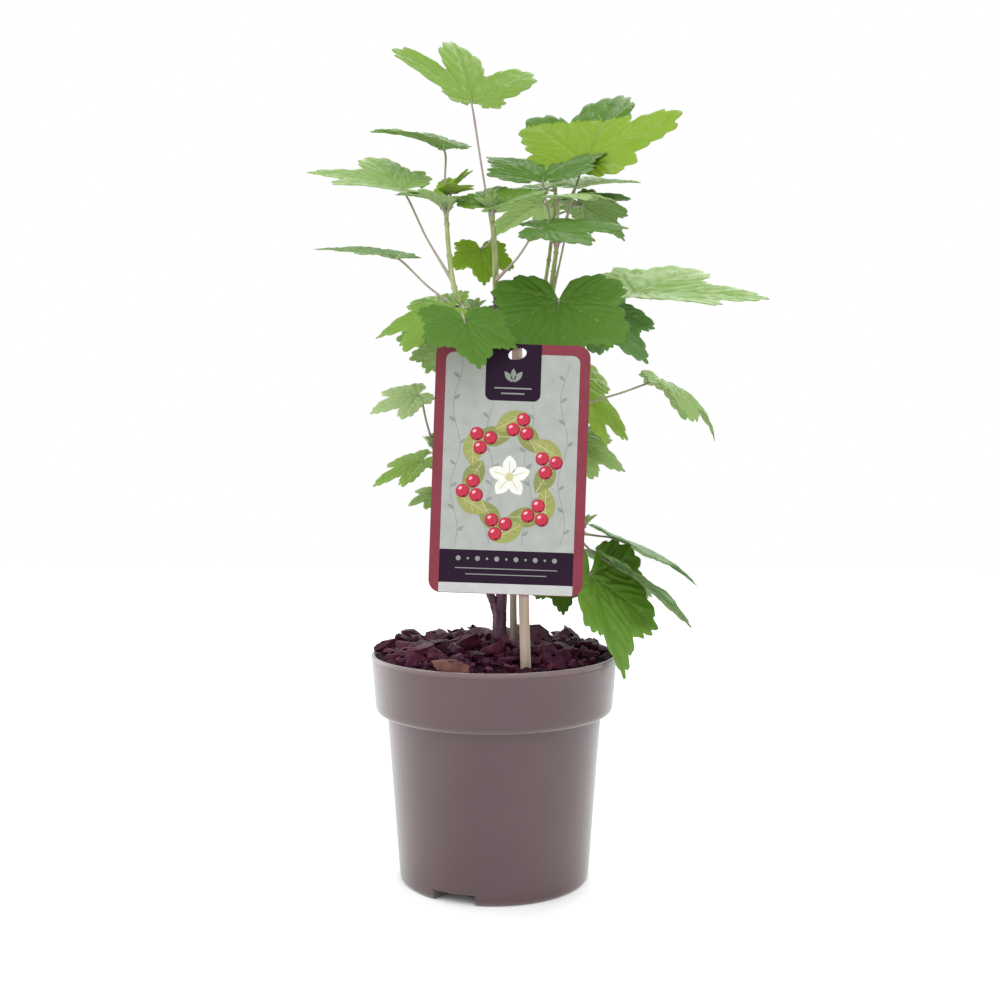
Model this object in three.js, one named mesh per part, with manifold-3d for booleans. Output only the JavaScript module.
// A young redcurrant bush in its nursery pot, as a scene graph of named solids.
// Millimetres, +Z up, +X to the right of the photograph, the viewer on the -Y side.
// The origin is the middle of the flat underside of the pot.

import * as THREE from 'three';
import { mergeVertices } from 'three/addons/utils/BufferGeometryUtils.js';
import Module from 'manifold-3d';

const wasm = await Module();
wasm.setup();

// Driving dimensions of the pot
const POT_HEIGHT = 154;
const RIM_RADIUS = 85;
const BAND_HEIGHT = 39.5;
const BAND_FOOT_RADIUS = 82;
const NECK_RADIUS = 74.2;
const BASE_RADIUS = 65.5;
const WALL = 1.6;
const FLOOR = 2.2;
const BASE_CORNER = 3.5;
const POT_SEGMENTS = 44;

// Drainage: two shallow arches under the edge of the base, each with a hole in its roof
const ARCH_COUNT = 2;
const ARCH_FIRST_DEG = -114;
const ARCH_WIDTH = 30;
const ARCH_HEIGHT = 7;
const ARCH_DEPTH = 17;
const DRAIN_RADIUS = 4;

// Clearance between two solids that touch on the real plant
const GAP = 0.3;

// Compost with coarse bark on it
const SOIL_CROWN = 160;
const SOIL_EDGE = 151.5;
const SOIL_FLOOR = FLOOR + ARCH_HEIGHT + GAP;
const CHIP_COUNT = 36;
const CHIP_SIZE = [12, 20];
const CHIP_SEED = 11;

// Wood
const TRUNK_FOOT = [3.6, 0];
const TRUNK_FOOT_RADIUS = 6;
const TRUNK_RADIUS = 4.8;
const SECOND_STEM_FOOT = [13.5, -3];
const SECOND_STEM_RADIUS = 2.3;
const STRAIGHT = 5;
const FLAT_PAD = 8;

// Label and the flat stick that carries it
const STICK_WIDTH = 6.8;
const STICK_THICKNESS = 3;
const STICK_FOOT = [21.4, -63.5, 125];
const STICK_TOP = [14.9, -63.5, 361];
const LABEL_WIDTH = 99.5;
const LABEL_HEIGHT = 161.5;
const LABEL_THICKNESS = 0.9;
const LABEL_CORNER = 8;
const LABEL_MIDDLE = [10.1, 282.5];
const LABEL_LEAN_DEG = -2;
const LABEL_HOLE = [12, 7.4];
const LABEL_HOLE_PLACE = [2.6, 74.2];
const LABEL_HOLE_TILT_DEG = 17;

// Leaf blade: angle from the midrib in degrees and the share of the leaf's length reached there
const LEAF_HALF_OUTLINE = [
  [0, 1], [12, 0.82], [27, 0.7], [42, 0.82], [54, 0.84], [78, 0.62], [104, 0.68], [127, 0.53], [152, 0.26],
];
const LEAF_RINGS = [0.5, 1];
// A leaf of lobing 1 loses these shares of its reach between its lobes and beside its foot
const SINUS_LOSS = 0.32;
const SINUS_DEG = 28;
const SINUS_HALF_DEG = 9;
const FOOT_LOSS = 0.45;
const FOOT_FROM_DEG = 62;
const FOOT_FULL_DEG = 88;
const LEAF_THICKNESS = 1;
const PETIOLE_RADIUS = [1.25, 0.95];
const PETIOLE_SINK = 4;
const LEAF_CLEARANCE = 0.6;
const GOLDEN_ANGLE = 137.5;
const SMALLEST_STEP = 0.12;
const AWAY = 90;

// Colours, roughness and metalness of each kind of surface
const FINISH = {
  pot: [0x6c5a5c, 0.5],
  soil: [0x3a2228, 0.95],
  bark: [0x5f4a3e, 0.85],
  greenBark: [0x6f6a45, 0.7],
  stick: [0xc9b48c, 0.8],
  label: [0xb2bab2, 0.45],
  young: [0x86b548, 0.55],
  middle: [0x6a9a45, 0.55],
  old: [0x46762f, 0.5],
};

const plant = new THREE.Group();
const solids = new Map();

// A repeatable random number between 0 and 1 for a whole number and a channel
function chance(index, channel) {
  const wave = Math.sin(index * 12.9898 + channel * 78.233) * 43758.5453;
  return wave - Math.floor(wave);
}

function mix(low, high, share) {
  return low + (high - low) * share;
}

function rad(degrees) {
  return THREE.MathUtils.degToRad(degrees);
}

function vector(values) {
  return new THREE.Vector3(...values);
}

// Solids and booleans

function solidOf(geometry) {
  const bare = geometry.index ? geometry.toNonIndexed() : geometry.clone();
  bare.deleteAttribute('normal');
  bare.deleteAttribute('uv');
  const merged = mergeVertices(bare, 1e-4);
  return new wasm.Manifold(new wasm.Mesh({
    numProp: 3,
    vertProperties: new Float32Array(merged.attributes.position.array),
    triVerts: new Uint32Array(merged.index.array),
  }));
}

function geometryOf(solid) {
  const mesh = solid.getMesh();
  const geometry = new THREE.BufferGeometry();
  geometry.setAttribute('position', new THREE.BufferAttribute(new Float32Array(mesh.vertProperties), 3));
  geometry.setIndex(new THREE.BufferAttribute(new Uint32Array(mesh.triVerts), 1));
  return geometry;
}

// The largest of the bodies in a solid, so that no loose scrap stays in a node
function mainBody(solid) {
  return solid.decompose().reduce((best, next) => (next.volume() > best.volume() ? next : best));
}

function join(pieces) {
  return mainBody(wasm.Manifold.union(pieces)).simplify(SMALLEST_STEP);
}

function addNode(name, solid, finish) {
  const [color, roughness] = FINISH[finish];
  const material = new THREE.MeshStandardMaterial({ color, roughness, metalness: 0 });
  const mesh = new THREE.Mesh(geometryOf(solid), material);
  mesh.name = name;
  plant.add(mesh);
  solids.set(name, solid);
}

function geometryFrom(points, corners) {
  const geometry = new THREE.BufferGeometry();
  const values = points.flatMap((point) => point.toArray());
  geometry.setAttribute('position', new THREE.Float32BufferAttribute(values, 3));
  geometry.setIndex(corners);
  return geometry;
}

// A closed mesh from rings of equally many points, with a point in the middle of each end
function closedRings(rings, firstMiddle, lastMiddle) {
  const sides = rings[0].length;
  const points = [...rings.flat(), firstMiddle, lastMiddle];
  const first = points.length - 2;
  const last = points.length - 1;
  const corners = [];
  rings.forEach((ring, row) => {
    for (let side = 0; side < sides; side += 1) {
      const next = (side + 1) % sides;
      const here = row * sides;
      if (row === 0) corners.push(first, next, side);
      if (row === rings.length - 1) {
        corners.push(last, here + side, here + next);
      } else {
        const above = here + sides;
        corners.push(here + side, here + next, above + next);
        corners.push(here + side, above + next, above + side);
      }
    }
  });
  return geometryFrom(points, corners);
}

// The radius of a limb at a share of its length, smooth between the radii given from foot to tip
function radiusAt(radii, share) {
  return new THREE.SplineCurve(radii.map((radius, i) => new THREE.Vector2(i, radius))).getPoint(share).y;
}

// A limb: a round section carried along a smooth path, tapering from one radius to the next
function limb(path, radii, sides, steps) {
  const curve = new THREE.CatmullRomCurve3(path.map(vector), false, 'centripetal');
  const tangent = curve.getTangent(0);
  let across = new THREE.Vector3(Math.abs(tangent.x) > 0.8 ? 0 : 1, Math.abs(tangent.x) > 0.8 ? 1 : 0, 0);
  const rings = [];
  for (let step = 0; step <= steps; step += 1) {
    const share = step / steps;
    const middle = curve.getPointAt(share);
    const along = curve.getTangentAt(share);
    across = across.clone().addScaledVector(along, -across.dot(along)).normalize();
    const up = along.clone().cross(across);
    const radius = radiusAt(radii, share);
    rings.push(Array.from({ length: sides }, (_, side) => {
      const turn = (2 * Math.PI * side) / sides;
      return middle.clone()
        .addScaledVector(across, radius * Math.cos(turn))
        .addScaledVector(up, radius * Math.sin(turn));
    }));
  }
  return solidOf(closedRings(rings, curve.getPoint(0), curve.getPoint(1)));
}

// Leaves

// The outline of a leaf with its own depth of lobes, from 0 for shallow to about 1 for deep
function outlineOf({ lobing }) {
  return LEAF_HALF_OUTLINE.map(([angle, reach]) => {
    const sinus = SINUS_LOSS * Math.exp(-(((angle - SINUS_DEG) / SINUS_HALF_DEG) ** 2));
    const toFoot = (angle - FOOT_FROM_DEG) / (FOOT_FULL_DEG - FOOT_FROM_DEG);
    const foot = FOOT_LOSS * THREE.MathUtils.clamp(toFoot, 0, 1);
    return [angle, reach * (1 - lobing * (sinus + foot))];
  });
}

// The three directions of a leaf: along its midrib, to its left and out of its upper side
function leafAxes({ heading, rise, roll }) {
  const h = rad(heading);
  const r = rad(rise);
  const along = new THREE.Vector3(Math.cos(r) * Math.cos(h), Math.cos(r) * Math.sin(h), Math.sin(r));
  const level = new THREE.Vector3(-Math.sin(h), Math.cos(h), 0);
  const above = along.clone().cross(level);
  const left = level.clone().multiplyScalar(Math.cos(rad(roll))).addScaledVector(above, Math.sin(rad(roll)));
  return { along, left, up: along.clone().cross(left) };
}

// A point of the blade at an angle from the midrib and a distance from the foot.
// Every line out of the foot starts at the cup angle and bends down by the bend angle per
// leaf length, and both halves are lifted by the fold angle.
function bladePoint(leaf, axes, angle, distance) {
  const cup = rad(leaf.cup);
  const bend = rad(Math.max(leaf.bend, 1));
  const fold = rad(leaf.fold);
  const turned = (bend * distance) / leaf.length;
  const out = ((Math.sin(cup) - Math.sin(cup - turned)) * leaf.length) / bend;
  const lift = ((Math.cos(cup - turned) - Math.cos(cup)) * leaf.length) / bend;
  const side = out * Math.sin(angle);
  return leaf.foot.clone()
    .addScaledVector(axes.along, out * Math.cos(angle))
    .addScaledVector(axes.left, side * Math.cos(fold))
    .addScaledVector(axes.up, lift + Math.abs(side) * Math.sin(fold));
}

// A thin closed blade: an upper and a lower skin over the same outline, joined at the margin
function blade(leaf) {
  const axes = leafAxes(leaf);
  const half = outlineOf(leaf);
  const outline = [...half.slice(1).reverse().map(([angle, reach]) => [-angle, reach]), ...half];
  const skins = [LEAF_THICKNESS / 2, -LEAF_THICKNESS / 2].map((offset) => {
    const points = [leaf.foot.clone().addScaledVector(axes.up, offset)];
    for (const ring of LEAF_RINGS) {
      for (const [angle, reach] of outline) {
        const point = bladePoint(leaf, axes, rad(angle), ring * reach * leaf.length);
        points.push(point.addScaledVector(axes.up, offset));
      }
    }
    return points;
  });
  const count = outline.length;
  const lower = skins[0].length;
  const corners = [];
  const face = (a, b, c) => {
    corners.push(a, b, c);
    corners.push(a + lower, c + lower, b + lower);
  };
  const edge = (a, b) => corners.push(a, a + lower, b, b, a + lower, b + lower);
  const at = (ring, column) => (ring < 0 ? 0 : 1 + ring * count + column);
  for (let column = 0; column < count - 1; column += 1) {
    face(0, at(0, column), at(0, column + 1));
    face(at(0, column), at(1, column), at(1, column + 1));
    face(at(0, column), at(1, column + 1), at(0, column + 1));
    edge(at(1, column), at(1, column + 1));
  }
  for (let ring = 0; ring < LEAF_RINGS.length; ring += 1) {
    edge(at(ring - 1, 0), at(ring, 0));
    edge(at(ring, count - 1), at(ring - 1, count - 1));
  }
  return solidOf(geometryFrom(skins.flat(), corners));
}

// A leaf stalk from a point inside the stem to a little way under the midrib of its leaf
function petiole(start, leaf, sag) {
  const { along } = leafAxes(leaf);
  const end = leaf.foot.clone().addScaledVector(along, PETIOLE_SINK);
  const middle = start.clone().lerp(leaf.foot, 0.5);
  middle.z += sag;
  const path = [start, middle, leaf.foot, end].map((p) => p.toArray());
  const [thick, thin] = PETIOLE_RADIUS;
  return limb(path, [thick, thin, thin, thin * 0.8], 3, 5);
}

function leafOf(row) {
  const [at, x, y, z, heading, rise, roll, length, cup, bend, fold, lobing] = row;
  return { at, foot: vector([x, y, z]), heading, rise, roll, length, cup, bend, fold, lobing };
}

// Limbs and their joints

// The point a little way beyond the end of a path, in line with it
function beyond(path, distance) {
  const end = vector(path.at(-1));
  const before = vector(path.at(-2));
  return end.clone().add(end.clone().sub(before).setLength(distance)).toArray();
}

// A path that goes on from the tip of a limb, clear of it and in line with it
function onward({ path }, points) {
  return [beyond(path, GAP), beyond(path, GAP + STRAIGHT), ...points];
}

// A path that leaves the side of a limb at a share of its length, square to it and clear of it
function sideways({ path, radii }, share, toward, points) {
  const curve = new THREE.CatmullRomCurve3(path.map(vector), false, 'centripetal');
  const along = curve.getTangentAt(share);
  const out = vector(toward).addScaledVector(along, -vector(toward).dot(along)).normalize();
  const edge = radiusAt(radii, share) + GAP;
  const step = (distance) => curve.getPointAt(share).addScaledVector(out, edge + distance).toArray();
  return [step(0.1), step(STRAIGHT), ...points];
}

const SOIL_TOP = SOIL_CROWN + GAP;
const FORK = [3.8, 0, 176];

const trunkPath = [[...TRUNK_FOOT, SOIL_TOP], [...TRUNK_FOOT, SOIL_TOP + 8], [3.8, 0, 182]];
const leftArm = { path: [FORK, [-0.5, 0, 188], [-4.5, -1, 199]], radii: [3.6, 3, 2.7] };
const mainArm = { path: [FORK, [5, 0, 192], [6, 0, 206]], radii: [4.6, 3.9, 3.4] };
const secondStem = {
  path: [
    [...SECOND_STEM_FOOT, SOIL_TOP], [13.5, -3, 200], [20, 2, 260],
    [31, 8, 340], [38, 14, 388], [39, 15, 394],
  ],
  radii: [2.6, SECOND_STEM_RADIUS, 2.2, 2.2, 2, 2],
};
const boughLeft = {
  path: onward(leftArm, [[-14, -4, 240], [-19, -9, 310], [-20.4, -19, 378], [-20.5, -20, 384]]),
  radii: [2.7, 2.4, 2.2, 2],
};
const boughMiddle = {
  path: onward(mainArm, [[6, 3, 260], [3, 5, 330], [1.6, 1, 398], [1.3, 0, 404]]),
  radii: [3.4, 3, 2.6, 2.3],
};
const boughBack = {
  path: sideways(boughMiddle, 0.27, [0.3, 1, 0], [
    [14, 28, 300], [27, 46, 350], [35, 55, 402], [36, 56, 408],
  ]),
  radii: [2, 1.8, 1.5],
};

const trunk = join([
  limb(trunkPath, [TRUNK_FOOT_RADIUS, TRUNK_RADIUS, TRUNK_RADIUS], 12, 6),
  limb(leftArm.path, leftArm.radii, 12, 4),
  limb(mainArm.path, mainArm.radii, 12, 4),
]);

// Masses of foliage
// Each leaf is one row: where its stalk leaves the stem (0 foot, 1 tip), its foot x, y and z,
// heading (0 right, 90 away from the viewer), rise, roll, length, cup, bend and fold in degrees,
// and its lobing.

const masses = {
  foliage_left_top: {
    path: onward(boughLeft, [[-26.6, -20, 403], [-31, -16, 431], [-33, -12, 457]]),
    radii: [2, 1.5],
    finish: 'young',
    leaves: [
      [0.95, -36, 15, 507, 170, 17, -12, 58, 15, 35, 8, 0.4],
      [0.35, -64, -5, 474, 176, 12, -24, 70, 8, 20, 10, 0.5],
      [0.98, -32, -8, 471, 30, 42, 0, 28, 10, 20, 20, 0.4],
      [0.98, -37, -20, 463, 195, 12, -10, 32, 8, 25, 15, 0.4],
      [0.96, -29, -19, 470, -35, 10, 0, 20, 8, 25, 10, 0.3],
      [0.05, -68, 0, 428, 178, 6, -5, 60, 10, 22, 2, 0.4],
      [0.12, -19, -70, 378, -70, -45, 0, 46, 5, 15, 0, 0],
      [0.02, -30, -26, 389, 171, -13, -32, 58, 8, 30, 0, 0.5],
    ],
  },
  foliage_middle_top: {
    path: onward(boughMiddle, [[0.5, -5, 432], [-1, -14, 450], [-1.2, -17, 455]]),
    radii: [2.3, 1.7],
    finish: 'middle',
    leaves: [
      [0.72, -16, 0, 537, 107, 47, 6, 80, 10, 20, 6, 1.2],
      [0.97, -1, -22, 458, 30, 22, 14, 50, 10, 25, 12, 0],
      [0.72, -10, 30, 439, -80, -55, 0, 34, 8, 25, 0, 0.3],
      [0.15, 30, -50, 440, -3, 3, 22, 60, 8, 25, -3, 0.5],
    ],
  },
  foliage_right_top: {
    path: onward(secondStem, [[41, 15, 414], [43, 12, 430], [44, 10, 438]]),
    radii: [2, 1.5],
    finish: 'middle',
    leaves: [
      [0.97, 64, 30, 500, 58, 49, 7, 94, 10, 25, 5, 0.55],
      [0.95, 34, 12, 484, 80, 30, 0, 67, 8, 25, 15, 0.2],
      [0.08, 59, 45, 486, 10, 10, 15, 52, 8, 25, 8, 0.4],
      [0.98, 45, -10, 469, -10, 2, 10, 42, 8, 35, 0, 0.4],
      [0.15, 44, -19, 397, -95, -53, 0, 71, 8, 20, 0, 0],
    ],
  },
  foliage_right_side: {
    path: sideways(secondStem, 0.9, [1, 0, 0], [[56, 14, 380], [74, 16, 389]]),
    radii: [1.6, 1.3],
    finish: 'young',
    leaves: [
      [0.97, 102, 46, 409, -4, -3, 19, 101, 5, 12, 7, 0.4],
      [0.9, 74, 25, 395, -24, -45, 28, 56, 5, 15, 0, 0.3],
    ],
  },
  foliage_right_low: {
    path: sideways(secondStem, 0.67, [1, 0.1, 0], [[44, 10, 320], [60, 12, 326]]),
    radii: [1.6, 1.3],
    finish: 'middle',
    leaves: [
      [0.97, 117, 10, 343, -3, -28, 2, 62, 15, 72, -4, 0.4],
      [0.9, 57, 20, 345, 33, -42, 50, 67, 8, 15, 0, 0.5],
      [0.6, 56, 25, 302, 0, -28, 35, 46, 8, 25, 0, 0.4],
    ],
  },
  foliage_bottom_right: {
    path: sideways(secondStem, 0.28, [1, 0, 0], [[38, 0, 228], [60, 3, 237]]),
    radii: [1.8, 1.4],
    finish: 'old',
    leaves: [
      [0.97, 84, 15, 232, 0, -24, -2, 72, 10, 30, 0, 0.3],
      [0.8, 66, -8, 209, -55, -66, -22, 78, 8, 10, 11, -0.1],
      [0.9, 83, 4, 214, 5, -32, -5, 74, 8, 30, 0, 0.3],
      [0.5, 45, -6, 208, -80, -60, 0, 30, 8, 25, 0, 0.2],
    ],
  },
  foliage_left_low: {
    path: sideways(boughLeft, 0.42, [-1, 0.1, 0], [[-30, -4, 284], [-42, 0, 294]]),
    radii: [1.6, 1.3],
    finish: 'young',
    leaves: [
      [0.97, -53, 5, 333, 195, -18, -26, 38, 8, 25, 0, 0.6],
      [0.9, -50, 0, 287, 190, -24, -18, 40, 8, 25, 0, 0.6],
      [0.6, -41, 15, 264, 190, -20, -26, 23, 8, 25, 0, 0.6],
    ],
  },
  foliage_back_low: {
    path: sideways(boughMiddle, 0.2, [0, 1, 0], [[4, 30, 264], [10, 40, 300], [14, 42, 330]]),
    radii: [1.8, 1.3],
    finish: 'old',
    leaves: [],
    hidden: { count: 8, seed: 3, middle: [12, 72, 288], reach: [78, 66, 96] },
  },
  foliage_back_middle: {
    path: sideways(boughLeft, 0.78, [-0.1, 1, 0], [[-20, 22, 356], [-16, 36, 392]]),
    radii: [1.7, 1.3],
    finish: 'middle',
    leaves: [],
    hidden: { count: 8, seed: 5, middle: [-6, 70, 392], reach: [78, 66, 60] },
  },
  foliage_back_top: {
    path: onward(boughBack, [[41, 64, 440], [45, 78, 472], [47, 88, 498]]),
    radii: [1.5, 1.2],
    finish: 'young',
    leaves: [],
    hidden: { count: 9, seed: 6, middle: [50, 112, 500], reach: [78, 68, 60] },
  },
};

// Leaf rows for the side that the photograph hides. The stalks leave the stem by turns to its
// left and right and lean away from the viewer, to the open side of the crown.
function hiddenLeaves({ path, hidden }) {
  const curve = new THREE.CatmullRomCurve3(path.map(vector), false, 'centripetal');
  const rows = [];
  for (let index = 0; index < hidden.count; index += 1) {
    const draw = (channel) => chance(index + hidden.seed * 31, channel);
    const at = mix(0.3, 0.98, (index + 0.5) / hidden.count);
    const turn = index % 2 === 0 ? 1 : -1;
    const heading = AWAY + turn * mix(8, 70, draw(1));
    const stalk = mix(10, 26, draw(2));
    const way = new THREE.Vector3(Math.cos(rad(heading)), Math.sin(rad(heading)), mix(-0.2, 0.7, draw(3)));
    const foot = curve.getPointAt(at).addScaledVector(way, stalk);
    const row = [
      at, ...foot.toArray(), heading, mix(-34, 4, draw(4)), mix(-16, 16, draw(5)),
      mix(44, 58, draw(6)), 8, mix(15, 32, draw(7)), 4, mix(0.2, 0.7, draw(9)),
    ];
    if (staysInside(leafOf(row), hidden)) rows.push(row);
  }
  return rows;
}

function staysInside(leaf, { middle, reach }) {
  const axes = leafAxes(leaf);
  return outlineOf(leaf).every(([angle, share]) => [-1, 1].every((side) => {
    const point = bladePoint(leaf, axes, rad(side * angle), share * leaf.length);
    return point.sub(vector(middle)).divide(vector(reach)).length() <= 1;
  }));
}

function farFrom(solid, names) {
  return names.every((name) => solid.minGap(solids.get(name), LEAF_CLEARANCE) >= LEAF_CLEARANCE);
}

function massOf({ path, radii, leaves, hidden }) {
  const stem = limb(path, radii, 8, 8);
  const curve = new THREE.CatmullRomCurve3(path.map(vector), false, 'centripetal');
  const others = [...solids.keys()];
  const grow = (row) => {
    const leaf = leafOf(row);
    const sag = row[0] > 0.9 ? 0 : -2;
    return blade(leaf).add(petiole(curve.getPointAt(leaf.at), leaf, sag));
  };
  const seen = leaves.map(grow);
  const unseen = hidden ? hiddenLeaves({ path, hidden }).map(grow) : [];
  return join([stem, ...seen, ...unseen.filter((leaf) => farFrom(leaf, others))]);
}

// Pot, compost, stick and label

function turned(profile) {
  const outline = profile.map(([radius, height]) => new THREE.Vector2(radius, height));
  return solidOf(new THREE.LatheGeometry(outline, POT_SEGMENTS)).rotate([90, 0, 0]);
}

function potSolid() {
  const bandFoot = POT_HEIGHT - BAND_HEIGHT;
  const shell = turned([
    [0, 0], [BASE_RADIUS - BASE_CORNER, 0], [BASE_RADIUS - 1, 1], [BASE_RADIUS, BASE_CORNER],
    [NECK_RADIUS, bandFoot - 1], [NECK_RADIUS + 1, bandFoot], [BAND_FOOT_RADIUS - 1.5, bandFoot],
    [BAND_FOOT_RADIUS, bandFoot + 1.5], [RIM_RADIUS - 0.4, POT_HEIGHT - 4], [RIM_RADIUS, POT_HEIGHT - 1.5],
    [RIM_RADIUS - 0.8, POT_HEIGHT], [RIM_RADIUS - WALL, POT_HEIGHT],
    [BAND_FOOT_RADIUS - WALL, bandFoot + WALL], [NECK_RADIUS - WALL, bandFoot - 1],
    [BASE_RADIUS - WALL, FLOOR], [0, FLOOR],
  ]);
  const archRoof = ARCH_HEIGHT + FLOOR;
  const inside = turned([[0, 0], [BASE_RADIUS - 1, 0], [BASE_RADIUS, archRoof], [0, archRoof]]);
  let pot = shell;
  for (let arch = 0; arch < ARCH_COUNT; arch += 1) {
    const turn = ARCH_FIRST_DEG + (arch * 360) / ARCH_COUNT;
    const reach = BASE_RADIUS - ARCH_DEPTH;
    const roof = wasm.Manifold.cube([ARCH_DEPTH + 10, ARCH_WIDTH + 2 * WALL, ARCH_HEIGHT + FLOOR])
      .translate([reach - WALL, -ARCH_WIDTH / 2 - WALL, 0]);
    const mouth = wasm.Manifold.cube([ARCH_DEPTH + 20, ARCH_WIDTH, ARCH_HEIGHT])
      .translate([reach, -ARCH_WIDTH / 2, 0]);
    const drain = wasm.Manifold.cylinder(FLOOR * 3, DRAIN_RADIUS, DRAIN_RADIUS, 16)
      .translate([reach + ARCH_DEPTH / 2 - 1, 0, ARCH_HEIGHT - FLOOR]);
    pot = pot.add(roof.rotate([0, 0, turn]).intersect(inside));
    pot = pot.subtract(mouth.rotate([0, 0, turn])).subtract(drain.rotate([0, 0, turn]));
  }
  return mainBody(pot);
}

function stickSolid(extra) {
  const foot = vector(STICK_FOOT);
  const way = vector(STICK_TOP).sub(foot);
  const length = way.length();
  const lean = THREE.MathUtils.radToDeg(Math.atan2(way.x, way.z));
  return wasm.Manifold.cube([STICK_WIDTH + 2 * extra, STICK_THICKNESS + 2 * extra, length + extra])
    .translate([-STICK_WIDTH / 2 - extra, -STICK_THICKNESS / 2 - extra, -extra])
    .rotate([0, lean, 0])
    .translate(STICK_FOOT);
}

// Angular lumps of bark, each a stretched and turned icosahedron
function barkChip(index) {
  const draw = (channel) => chance(index + CHIP_SEED * 17, channel);
  const distance = 76 * Math.sqrt(draw(1));
  const around = index * rad(GOLDEN_ANGLE);
  const [small, large] = CHIP_SIZE;
  const length = mix(small, large, draw(2)) / 2;
  const place = [distance * Math.cos(around), distance * Math.sin(around)];
  const height = soilHeight(distance) + mix(-1, 3.5, draw(3));
  const chip = new THREE.IcosahedronGeometry(1, 0);
  chip.scale(length, length * mix(0.55, 0.9, draw(4)), length * mix(0.4, 0.7, draw(5)));
  chip.rotateX(rad(mix(-35, 35, draw(6))));
  chip.rotateY(rad(mix(-35, 35, draw(7))));
  chip.rotateZ(2 * Math.PI * draw(8));
  chip.translate(...place, height);
  return solidOf(chip);
}

function soilHeight(distance) {
  return mix(SOIL_CROWN, SOIL_EDGE, Math.min(1, distance / RIM_RADIUS) ** 2);
}

function compostSolid() {
  const bandFoot = POT_HEIGHT - BAND_HEIGHT;
  const space = 2 * GAP;
  // The wall's inner face, a little clear of it, up to the step under the band and above it
  const inside = [
    [BASE_RADIUS - WALL - GAP, SOIL_FLOOR],
    [NECK_RADIUS - WALL - space, bandFoot - 1],
    [NECK_RADIUS - WALL - space, bandFoot + space],
    [BAND_FOOT_RADIUS - WALL - space, bandFoot + WALL + space],
  ];
  const wallRadius = (height) => (
    mix(BAND_FOOT_RADIUS, RIM_RADIUS, (height - bandFoot) / BAND_HEIGHT) - WALL - 2 * space);
  const crown = [1, 0.8, 0.55, 0.3].map((share) => {
    const radius = wallRadius(SOIL_EDGE) * share;
    return [radius, soilHeight(radius)];
  });
  const body = turned([[0, SOIL_FLOOR], ...inside, ...crown, [0, SOIL_CROWN]]);
  const above = POT_HEIGHT + 40;
  const mouth = wallRadius(POT_HEIGHT);
  const well = turned([[0, SOIL_FLOOR], ...inside, [mouth, POT_HEIGHT], [mouth, above], [0, above]]);
  const chips = Array.from({ length: CHIP_COUNT }, (_, index) => barkChip(index).intersect(well));
  // A level bed under each stem, with no bark on it
  const feet = [TRUNK_FOOT, SECOND_STEM_FOOT];
  const bed = wasm.Manifold.cylinder(4, FLAT_PAD, FLAT_PAD, 20);
  const beds = feet.map(([x, y]) => bed.translate([x, y, SOIL_CROWN - 4]));
  const room = wasm.Manifold.cylinder(60, FLAT_PAD, FLAT_PAD, 20);
  const rooms = feet.map(([x, y]) => room.translate([x, y, SOIL_CROWN]));
  const heap = wasm.Manifold.union([body, ...chips, ...beds]);
  const cut = wasm.Manifold.union([...rooms, stickSolid(GAP)]);
  return mainBody(heap.subtract(cut)).simplify(SMALLEST_STEP);
}

// A rounded card with an oval hole near its top edge
function labelSolid() {
  const [halfWidth, halfHeight] = [LABEL_WIDTH / 2, LABEL_HEIGHT / 2];
  const card = new THREE.Shape();
  const corners = [[1, -1, -90], [1, 1, 0], [-1, 1, 90], [-1, -1, 180]];
  for (const [x, y, turn] of corners) {
    const middle = [x * (halfWidth - LABEL_CORNER), y * (halfHeight - LABEL_CORNER)];
    card.absarc(...middle, LABEL_CORNER, rad(turn), rad(turn + 90), false);
  }
  const [holeWidth, holeHeight] = LABEL_HOLE;
  const tilt = rad(LABEL_HOLE_TILT_DEG);
  const hole = new THREE.Path();
  hole.absellipse(...LABEL_HOLE_PLACE, holeWidth / 2, holeHeight / 2, 0, 2 * Math.PI, false, tilt);
  card.holes.push(hole);
  const sheet = { depth: LABEL_THICKNESS, bevelEnabled: false, curveSegments: 6 };
  const geometry = new THREE.ExtrudeGeometry(card, sheet);
  const back = STICK_FOOT[1] - STICK_THICKNESS / 2 - GAP;
  return solidOf(geometry)
    .rotate([90, 0, 0])
    .rotate([0, -LABEL_LEAN_DEG, 0])
    .translate([LABEL_MIDDLE[0], back, LABEL_MIDDLE[1]]);
}

addNode('pot', potSolid(), 'pot');
addNode('compost', compostSolid(), 'soil');
addNode('trunk', trunk, 'bark');
addNode('stem_second', limb(secondStem.path, secondStem.radii, 8, 16), 'greenBark');
addNode('bough_left', limb(boughLeft.path, boughLeft.radii, 8, 14), 'bark');
addNode('bough_middle', limb(boughMiddle.path, boughMiddle.radii, 8, 14), 'bark');
addNode('bough_back', limb(boughBack.path, boughBack.radii, 8, 12), 'greenBark');
addNode('label_stick', stickSolid(0), 'stick');
addNode('label', labelSolid(), 'label');
for (const [name, mass] of Object.entries(masses)) {
  addNode(name, massOf(mass), mass.finish);
}

export default plant;
